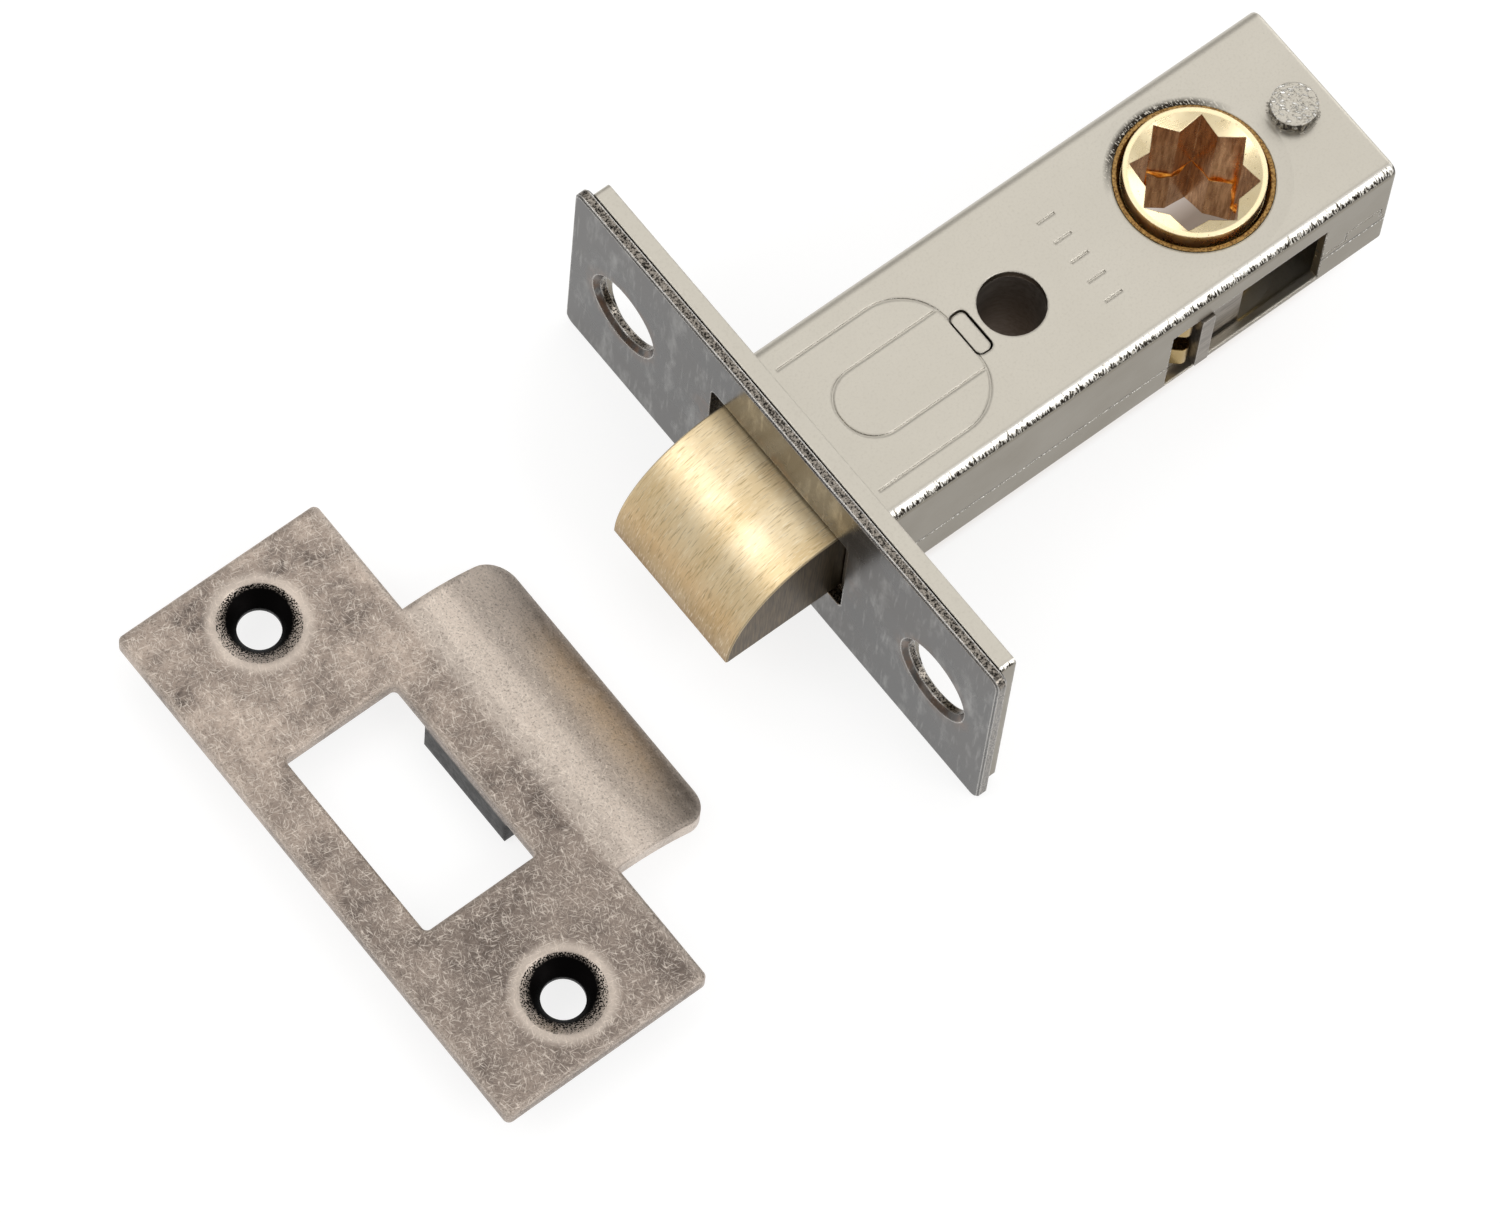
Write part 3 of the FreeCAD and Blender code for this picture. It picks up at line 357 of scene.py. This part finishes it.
def antiquePewterPlate():
    # steel plated, blackened and tumbled: black stays in the countersinks and on the tab, and the rest is
    # rubbed back to a finely mottled warm grey crossed by short hair-fine scratches, with pale worn
    # edges; the hairs are drawn twice as coarse as the real ones so that they show
    material, tree, inMm, facing = newMaterial("antiquePewterPlate")
    edge, rounded = edgeWear(tree, facing, pewter["wornBandMm"], pewter["wornSharpness"])
    patches = speckle(tree, inMm, **pewter["patches"])
    colour = layOver(tree, pewter["deep"], pewter["light"], patches)
    mottle = speckle(tree, inMm, **pewter["mottle"])
    colour = layOver(tree, colour, pewter["mid"], mottle)
    # darker towards one end, along Y
    darkStart, darkFull = pewter["darkEndMm"]
    colour = layOver(tree, colour, pewter["deep"], along(tree, inMm, 1, darkStart, darkFull),
                     pewter["darkEndShare"])
    colour = layOver(tree, colour, pewter["worn"], edge, pewter["wornShare"])
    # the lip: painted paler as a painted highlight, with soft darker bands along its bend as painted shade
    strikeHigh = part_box("strike_plate")[1]
    wavesPerUnit = 10 / math.pi  # the wave texture's own bands in one unit of length at a scale of 1
    waves = addNode(tree, "ShaderNodeTexWave",
                    {"Vector": inMm, "Scale": 1 / wavesPerUnit / pewter["lipBandMm"],
                     "Distortion": pewter["lipWander"], "Detail": 3.0, "Detail Scale": 2.0,
                     "Phase Offset": pewter["lipBandStart"]})
    bandFrom, bandTo = pewter["lipBanded"]
    banded = addNode(tree, "ShaderNodeMapRange",
                     {0: waves.outputs["Fac"], 1: bandFrom, 2: bandTo, 4: pewter["lipBandShade"]})
    lipRoot = strikeCentre.x / mm - (strikeHigh.x - strikeCentre.x) / mm
    onLip = along(tree, inMm, 0, *[lipRoot + reachMm for reachMm in pewter["lipRootMm"]])
    colour = layOver(tree, colour, pewter["worn"], onLip, pewter["lipPaintedPale"])
    colour = layOver(tree, colour, pewter["deep"], onLip, banded.outputs[0])
    colour = layOver(tree, colour, pewter["dust"], speckle(tree, inMm, **pewter["dustGrains"]))
    for count, turn in enumerate(pewter["hairTurns"]):
        hair = speckle(tree, inMm, **pewter["hairs"], turn=turn, shift=pewter["hairShiftMm"] * count)
        colour = layOver(tree, colour, pewter["hair"], hair)
    # each countersink: a bright ring round it, a painted highlight on its dished rim, then speckles that
    # close up to black
    sinkSpeckle = speckle(tree, inMm, **pewter["sinkSpeckle"])
    halfPitch = Vector((0, strikeDims["spacing_y_mm"] * mm / 2, 0))
    for side in (-1, 1):
        axis = strikeCentre + side * halfPitch
        ring = nearAxis(tree, inMm, axis, (1, 1, 0), *pewter["ringMm"])
        colour = layOver(tree, colour, pewter["worn"], ring, pewter["rimHighlightShare"])
        soaked = axis + Vector(pewter["soakShiftMm"]) * mm
        soak = nearAxis(tree, inMm, soaked, (1, 1, 0), *pewter["soakMm"])
        closing = addNode(tree, "ShaderNodeMath", {0: soak, 1: pewter["soakWeight"], 2: sinkSpeckle},
                          operation="MULTIPLY_ADD")
        closed = addNode(tree, "ShaderNodeMapRange",
                         {0: closing.outputs[0], 1: pewter["soakClosing"][0], 2: pewter["soakClosing"][1]})
        colour = layOver(tree, colour, pewter["black"], closed.outputs[0],
                         nearAxis(tree, inMm, axis, (1, 1, 0), *pewter["sinkMm"]))
        colour = layOver(tree, colour, pewter["black"],
                         nearAxis(tree, inMm, soaked, (1, 1, 0), *pewter["blackMm"]))
    # the tab keeps its black
    plateTop = strikeHigh.z / mm
    onTab = nearAxis(tree, inMm, strikeCentre, (1, 0, 0), *pewter["tabHalfMm"])
    below = along(tree, inMm, 2, *[plateTop - dropMm for dropMm in pewter["tabTopMm"]])
    colour = layOver(tree, colour, pewter["tab"], onTab, below)
    dents = speckle(tree, inMm, **pewter["dents"])
    metalSurface(tree, colour, (mottle, pewter["satin"], pewter["smooth"]), rounded,
                 [(dents, pewter["dentDepthMm"])])
    return material


boltBrass = {
    "light": "#F0DDB8", "dark": "#E0C697", "line": "#8E744C", "paintedHighlight": "#FFF4DC", "sawnAndShaded": "#42382B",
    "sawnLight": "#6D5D46", "darkTip": "#8A6C45", "edgeMm": 0.2, "edgeSharpness": 0.12,
    "bands": dict(sizeMm=3.5, low=0.3, high=0.7, stretch=(0.3, 1, 0.3), detail=3.0),
    "lines": dict(sizeMm=0.13, low=0.54, high=0.72, most=0.55, stretch=(0.09, 1, 0.09), detail=2.0),
    "glints": dict(sizeMm=0.12, low=0.54, high=0.72, most=0.5, stretch=(0.12, 1, 0.12), detail=2.0,
                   shift=30.0),
    "saw": dict(sizeMm=0.16, low=0.3, high=0.7, stretch=(1, 1, 0.06), detail=2.0), "lineDepthMm": 0.003,
    "darkTipMm": 4.2, "darkTipShare": 0.9, "sawnFacing": (0.6, 0.8), "edgeShare": 0.3,
    "smooth": 0.38, "satin": 0.46,
}


def brushedBoltBrass():
    # drawn brass brushed over its profile: a pale straw satin with short fine lines that follow the
    # curve, some painted bright as painted highlights, darker towards the nose's tip, sawn ends painted
    # dark as painted shade, and edges with a painted highlight
    material, tree, inMm, facing = newMaterial("brushedBoltBrass")
    edge, rounded = edgeWear(tree, facing, boltBrass["edgeMm"], boltBrass["edgeSharpness"])
    bands = speckle(tree, inMm, **boltBrass["bands"])
    lines = speckle(tree, inMm, **boltBrass["lines"])
    colour = layOver(tree, boltBrass["dark"], boltBrass["light"], bands)
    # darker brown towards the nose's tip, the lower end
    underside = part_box("bolt_head")[0].z / mm
    tip = along(tree, inMm, 2, underside + boltBrass["darkTipMm"], underside)
    colour = layOver(tree, colour, boltBrass["darkTip"], tip, boltBrass["darkTipShare"])
    colour = layOver(tree, colour, boltBrass["line"], lines)
    # some brush lines painted bright: painted highlights
    colour = layOver(tree, colour, boltBrass["paintedHighlight"], speckle(tree, inMm, **boltBrass["glints"]))
    # the faces that look along Y carry the sawn texture, painted dark as painted shade
    sawnAndShaded = layOver(tree, boltBrass["sawnAndShaded"], boltBrass["sawnLight"], speckle(tree, inMm, **boltBrass["saw"]))
    colour = layOver(tree, colour, sawnAndShaded, facingShare(tree, facing, 1, *boltBrass["sawnFacing"]))
    # the edges painted bright: a painted highlight
    colour = layOver(tree, colour, boltBrass["paintedHighlight"], edge, boltBrass["edgeShare"])
    metalSurface(tree, colour, (bands, boltBrass["satin"], boltBrass["smooth"]), rounded,
                 [(lines, boltBrass["lineDepthMm"])])
    return material


hubBrass = {
    "bright": "#FBEBC4", "warm": "#FAE6B9", "bore": "#EBC294", "boreDark": "#B0855C", "bush": "#A58350",
    "bushDark": "#5E4226", "pit": "#7A5A2E", "lobe": "#A8905E", "edgeMm": 0.15, "edgeSharpness": 0.15,
    "cloud": dict(sizeMm=2.2, low=0.35, high=0.65, detail=4.0),
    "broached": dict(sizeMm=0.32, low=0.35, high=0.65, stretch=(1, 1, 0.12)),
    "sand": dict(sizeMm=0.22, low=0.42, high=0.62, rough=0.7),
    "pits": dict(sizeMm=0.3, low=0.66, high=0.72, most=0.8, shift=8.0),
    "ringMm": 0.14, "ringDepthMm": 0.003, "starMm": (5.7, 5.85), "bushMm": (6.27, 6.29),
    "boreFacing": (0.5, 0.3), "rimFacing": (0.2, 0.4), "lobeFacing": (0.4, 0.2),
    "smooth": 0.22, "satin": 0.34,
}


def turnedHubBrass():
    # free-cutting brass, turned: bright yellow with faint rings and a few pits; the broached star is
    # browned and streaked along the cut, and the pressed bush round it is tan and sandy
    material, tree, inMm, facing = newMaterial("turnedHubBrass")
    edge, rounded = edgeWear(tree, facing, hubBrass["edgeMm"], hubBrass["edgeSharpness"])
    radius = fromAxis(tree, inMm, followerAxis, (1, 1, 0))
    rings = addNode(tree, "ShaderNodeTexNoise",
                    {"W": radius, "Scale": 1 / hubBrass["ringMm"], "Detail": 2.0}, noise_dimensions="1D")
    cloud = speckle(tree, inMm, **hubBrass["cloud"])
    colour = layOver(tree, hubBrass["warm"], hubBrass["bright"], cloud)
    colour = layOver(tree, colour, hubBrass["pit"], speckle(tree, inMm, **hubBrass["pits"]))
    bore = layOver(tree, hubBrass["boreDark"], hubBrass["bore"],
                   speckle(tree, inMm, **hubBrass["broached"]))
    inStar = nearAxis(tree, inMm, followerAxis, (1, 1, 0), *hubBrass["starMm"])
    colour = layOver(tree, colour, bore, facingShare(tree, facing, 2, *hubBrass["boreFacing"]), inStar)
    sandy = layOver(tree, hubBrass["bush"], hubBrass["bushDark"], speckle(tree, inMm, **hubBrass["sand"]))
    hubEnd, bushStart = hubBrass["bushMm"]
    onBush = addNode(tree, "ShaderNodeMapRange", {0: radius, 1: hubEnd, 2: bushStart})
    colour = layOver(tree, colour, sandy, onBush.outputs[0],
                     facingShare(tree, facing, 2, *hubBrass["rimFacing"]))
    # the lobes beyond the bush, on their walls, are painted darker as painted shade inside the case
    colour = layOver(tree, colour, hubBrass["lobe"], onBush.outputs[0],
                     facingShare(tree, facing, 2, *hubBrass["lobeFacing"]))
    metalSurface(tree, colour, (cloud, hubBrass["smooth"], hubBrass["satin"]), rounded,
                 [(rings.outputs["Fac"], hubBrass["ringDepthMm"])])
    return material


# what an eye sees of the metals inside: lines from rolling or drawing, and how dull they are
innerMetals = {
    "millSteel": {"light": "#968F86", "dark": "#6E675F", "worn": "#E6E3DD", "lineMm": 0.3,
                  "dullness": 0.36},
    "oxidisedTubeSteel": {"light": "#8D867F", "dark": "#726B64", "worn": "#8A847C", "lineMm": 0.5,
                          "dullness": 0.55},
    "drawnSpringWire": {"light": "#A5A39F", "dark": "#6F6C68", "worn": "#CFCDC9", "lineMm": 0.2,
                        "dullness": 0.3},
    "brassBurr": {"light": "#FFB84F", "dark": "#D9852A", "worn": "#FFE0A0", "lineMm": 0.25,
                  "dullness": 0.32},
}
innerFinish = {"lines": dict(low=0.35, high=0.65, stretch=(0.15, 1, 1)), "lineDepthMm": 0.004,
               "dullnessSpread": 0.1, "edgeMm": 0.15, "edgeSharpness": 0.15, "edgeShare": 0.4}


def plainMetal(name):
    # mill-finished metal: faint lines along its length, rubbed bright on the edges
    look = innerMetals[name]
    material, tree, inMm, facing = newMaterial(name)
    edge, rounded = edgeWear(tree, facing, innerFinish["edgeMm"], innerFinish["edgeSharpness"])
    lines = speckle(tree, inMm, look["lineMm"], **innerFinish["lines"])
    colour = layOver(tree, look["dark"], look["light"], lines)
    colour = layOver(tree, colour, look["worn"], edge, innerFinish["edgeShare"])
    metalSurface(tree, colour, (lines, look["dullness"], look["dullness"] + innerFinish["dullnessSpread"]),
                 rounded, [(lines, innerFinish["lineDepthMm"])])
    return material


finishes = {
    "nickel_plate": satinNickelPlate(), "stained_steel": stainedSteel(),
    "antique_pewter": antiquePewterPlate(), "satin_brass": brushedBoltBrass(),
    "yellow_brass": turnedHubBrass(), "bright_steel": plainMetal("millSteel"),
    "dark_steel": plainMetal("oxidisedTubeSteel"), "spring_steel": plainMetal("drawnSpringWire"),
}
for part in frame["record"]["subparts"]:
    cadObject = frame["nodes"][part["node"]]
    cadObject.data.materials.clear()
    cadObject.data.materials.append(finishes[part["material_slot"]])
print("finishes:", ", ".join(sorted(m.name for m in finishes.values())))


def addPiece(name, mesh, material, body):
    # a finished mesh becomes a piece that rides on its body
    bmesh.ops.recalc_face_normals(mesh, faces=mesh.faces)
    data = bpy.data.meshes.new(name)
    mesh.to_mesh(data)
    mesh.free()
    data.materials.append(material)
    piece = bpy.data.objects.new(name, data)
    bpy.context.scene.collection.objects.link(piece)
    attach(piece, body)
    return piece


# the bolt spring: an open coil with its last turn closed at each end
spring = {"wireMm": 0.9, "outerMm": 6.4, "turns": 7.5, "closedTurns": 0.9, "closedPitch": 1.02,
          "stepsPerTurn": 28, "ringSides": 12}


def springRise(share, lengthM):
    # how far along the coil has come: slow in the closed turns, even between them
    closed = spring["closedTurns"] / spring["turns"]
    closedRise = spring["closedTurns"] * spring["wireMm"] * mm * spring["closedPitch"]
    if share < closed:
        return closedRise * share / closed
    if share > 1 - closed:
        return lengthM - closedRise * (1 - share) / closed
    return closedRise + (lengthM - 2 * closedRise) * (share - closed) / (1 - 2 * closed)


def boltSpring():
    low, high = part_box("bolt_spring")
    wire = spring["wireMm"] * mm / 2
    start, end = low.x + wire, high.x - wire
    axisZ = (low.z + high.z) / 2
    radius = spring["outerMm"] * mm / 2 - wire
    steps = int(spring["turns"] * spring["stepsPerTurn"])
    sides = spring["ringSides"]
    mesh = bmesh.new()
    rings = []
    for step in range(steps + 1):
        angle = 2 * math.pi * spring["turns"] * step / steps
        outward = Vector((0, math.cos(angle), math.sin(angle)))
        middle = Vector((start + springRise(step / steps, end - start), 0, axisZ)) + outward * radius
        turns = [2 * math.pi * side / sides for side in range(sides)]
        rings.append([mesh.verts.new(middle + outward * wire * math.cos(turn)
                                     + Vector((1, 0, 0)) * wire * math.sin(turn)) for turn in turns])
    for first, second in zip(rings, rings[1:]):
        for side in range(sides):
            after = (side + 1) % sides
            mesh.faces.new((first[side], first[after], second[after], second[side])).smooth = True
    mesh.faces.new(rings[0][::-1])
    mesh.faces.new(rings[-1])
    piece = addPiece("bolt_spring_coil", mesh, finishes["spring_steel"], "case")
    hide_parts("bolt_spring")
    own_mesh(piece)


boltSpring()
print("bolt spring wound")


# the burr that the broach left inside the star, where the follower's two halves meet
burr = {"acrossFlatsMm": 8.0, "reachMm": 0.55, "thickMm": 0.16, "rootMm": 0.02, "riseMm": 0.6,
        "restLift": 0.4, "swell": (0.5, 0.3, 0.2), "slowWaves": (3, 9), "fastWaves": (11, 23),
        "leastSwell": 0.1, "chipped": (0.85, 1.0), "stepsPerEdge": 10, "starPoints": 8, "seed": 7}


def starOutline():
    # the eight tips of two crossed squares with the eight hollows between them
    half = burr["acrossFlatsMm"] / 2
    eighth = 2 * math.pi / burr["starPoints"]
    corners = []
    for point in range(burr["starPoints"]):
        for angle, reach in ((eighth * point, half * math.sqrt(2)),
                             (eighth * (point + 0.5), half / math.cos(eighth / 2))):
            corners.append(Vector((reach * math.cos(angle), reach * math.sin(angle), 0)))
    return corners


def starBurr():
    wander = random.Random(burr["seed"])
    waves = [(wander.uniform(0, 2 * math.pi), wander.randint(*burr["slowWaves"]),
              wander.randint(*burr["fastWaves"])) for _ in range(2)]
    usual, slowSwell, fastSwell = burr["swell"]
    corners = starOutline()
    steps = burr["stepsPerEdge"]
    outline = [first.lerp(second, step / steps) for first, second in zip(corners, corners[1:] + corners[:1])
               for step in range(steps)]
    joint = Vector((followerAxis.x, followerAxis.y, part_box("follower_upper_half")[0].z))
    thick = Vector((0, 0, burr["thickMm"] * mm))
    mesh = bmesh.new()
    wall, lip, top = [], [], []
    for index, point in enumerate(outline):
        inward = -point.normalized() * mm
        turn = 2 * math.pi * index / len(outline)
        swell, lift = [usual + slowSwell * math.sin(slow * turn + start) + fastSwell * math.sin(fast * turn)
                       for start, slow, fast in waves]
        base = joint + point * mm
        root = base - inward * burr["rootMm"]
        proud = burr["reachMm"] * max(burr["leastSwell"], swell) * wander.uniform(*burr["chipped"])
        rise = Vector((0, 0, (lift - burr["restLift"]) * burr["riseMm"] * mm))
        for ring, place in ((wall, root - thick), (lip, base + inward * proud + rise), (top, root + thick)):
            ring.append(mesh.verts.new(place))
    for index in range(len(outline)):
        after = (index + 1) % len(outline)
        for one, two in ((wall, lip), (lip, top), (top, wall)):
            mesh.faces.new((one[index], one[after], two[after], two[index]))
    addPiece("star_burr", mesh, plainMetal("brassBurr"), "follower")


starBurr()
print("star burr raised")


# the bench: opal glass lit from below, so that shadows on it stay pale, with a painted shadow under the
# case where its glow is dimmed
bench = {"colour": "#8C8C8C", "glow": 0.80, "halfSize": 1.5, "gapMm": 0.05, "roughness": 0.9, "gloss": 0.1,
         "paintedShadowGlow": 0.2, "paintedShadowTint": "#E8C8B0",
         "shadowHalfMm": (3.5, 8.5), "shadowRearMm": (-61.0, -52.0), "shadowFrontMm": (0.0, -10.0)}


def benchTop():
    lowest = min(corner.z for corner in (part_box("strike_plate")[0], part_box("outer_forend")[0]))
    data = bpy.data.meshes.new("bench")
    size, z = bench["halfSize"], lowest - bench["gapMm"] * mm
    corners = [(-size, -size, z), (size, -size, z), (size, size, z), (-size, size, z)]
    data.from_pydata(corners, [], [(0, 1, 2, 3)])
    top = bpy.data.objects.new("bench", data)
    bpy.context.scene.collection.objects.link(top)
    material, tree, inMm, _ = newMaterial("litOpalGlass")
    # a painted shadow: the glow is dimmed under the case, so that it stands in a soft shadow
    across = nearAxis(tree, inMm, Vector(), (0, 1, 0), *bench["shadowHalfMm"])
    length = addNode(tree, "ShaderNodeMath", {0: along(tree, inMm, 0, *bench["shadowRearMm"]),
                                              1: along(tree, inMm, 0, *bench["shadowFrontMm"])},
                     operation="MULTIPLY")
    paintedShadow = addNode(tree, "ShaderNodeMath", {0: across, 1: length.outputs[0]}, operation="MULTIPLY")
    glow = addNode(tree, "ShaderNodeMapRange",
                   {0: paintedShadow.outputs[0], 3: bench["glow"], 4: bench["paintedShadowGlow"]})
    # the tint is a warm painted reflection of the brass above, inside the painted shadow
    tint = layOver(tree, "#FFFFFF", bench["paintedShadowTint"], paintedShadow.outputs[0])  # warm, off the brass above
    surface = addNode(tree, "ShaderNodeBsdfPrincipled",
                      {"Base Color": linear(bench["colour"]), "Roughness": bench["roughness"],
                       "Specular IOR Level": bench["gloss"], "Emission Color": tint,
                       "Emission Strength": glow.outputs[0]})
    addNode(tree, "ShaderNodeOutputMaterial", {"Surface": surface.outputs["BSDF"]})
    data.materials.append(material)


studio = {
    "tint": (1.0, 0.985, 0.96, 1.0), "domeTop": 0.72, "domeSide": 0.5,
    "softboxes": {
        "overhead": {"place": (-0.25, -0.30, 0.85), "size": (0.7, 0.7), "watts": 0.85},
        "rightFill": {"place": (-0.22, 0.68, 0.60), "size": (0.5, 0.4), "watts": 2.2},
        "frontFill": {"place": (0.55, -0.28, 0.74), "size": (0.45, 0.45), "watts": 1.3},
        "rearFill": {"place": (-0.80, -0.25, 0.40), "size": (0.7, 0.5), "watts": 1.6},
    },
}


def studioLight():
    world = bpy.data.worlds.new("paleStudio")
    bpy.context.scene.world = world
    world.use_nodes = True
    tree = world.node_tree
    tree.nodes.clear()
    place = addNode(tree, "ShaderNodeTexCoord")
    parts = addNode(tree, "ShaderNodeSeparateXYZ", {0: place.outputs["Generated"]})
    glow = addNode(tree, "ShaderNodeMapRange",
                   {0: parts.outputs[2], 3: studio["domeSide"], 4: studio["domeTop"]})
    back = addNode(tree, "ShaderNodeBackground", {"Color": studio["tint"], "Strength": glow.outputs[0]})
    addNode(tree, "ShaderNodeOutputWorld", {"Surface": back.outputs[0]})
    for name, box in studio["softboxes"].items():
        light = bpy.data.lights.new(name, "AREA")
        light.shape = "RECTANGLE"
        light.size, light.size_y = box["size"]
        light.energy = box["watts"]
        lamp = bpy.data.objects.new(name, light)
        bpy.context.scene.collection.objects.link(lamp)
        lamp.location = box["place"]
        lamp.rotation_euler = (-Vector(box["place"])).to_track_quat("-Z", "Y").to_euler()


# where the lens stands and how it is turned: its right and back directions
lens = {
    "place": (0.235769, 0.235778, 0.707107), "focalMm": 221.57, "sensorMm": 36.0, "clip": (0.05, 10.0),
    "right": (-0.785289, 0.616857, 0.053003), "back": (0.292610, 0.294333, 0.909806),
}


def cameraOnStand():
    data = bpy.data.cameras.new("camera")
    data.lens = lens["focalMm"]
    data.sensor_width = lens["sensorMm"]
    data.clip_start, data.clip_end = lens["clip"]
    camera = bpy.data.objects.new("camera", data)
    bpy.context.scene.collection.objects.link(camera)
    back = Vector(lens["back"]).normalized()
    up = back.cross(Vector(lens["right"])).normalized()
    right = up.cross(back)
    turn = Matrix((right, up, back)).transposed().to_4x4()
    camera.matrix_world = Matrix.Translation(lens["place"]) @ turn
    bpy.context.scene.camera = camera


benchTop()
studioLight()
cameraOnStand()
bpy.context.scene.view_settings.view_transform = "Standard"  # plain colours, as the hex values state
print("bench, light and camera ready")
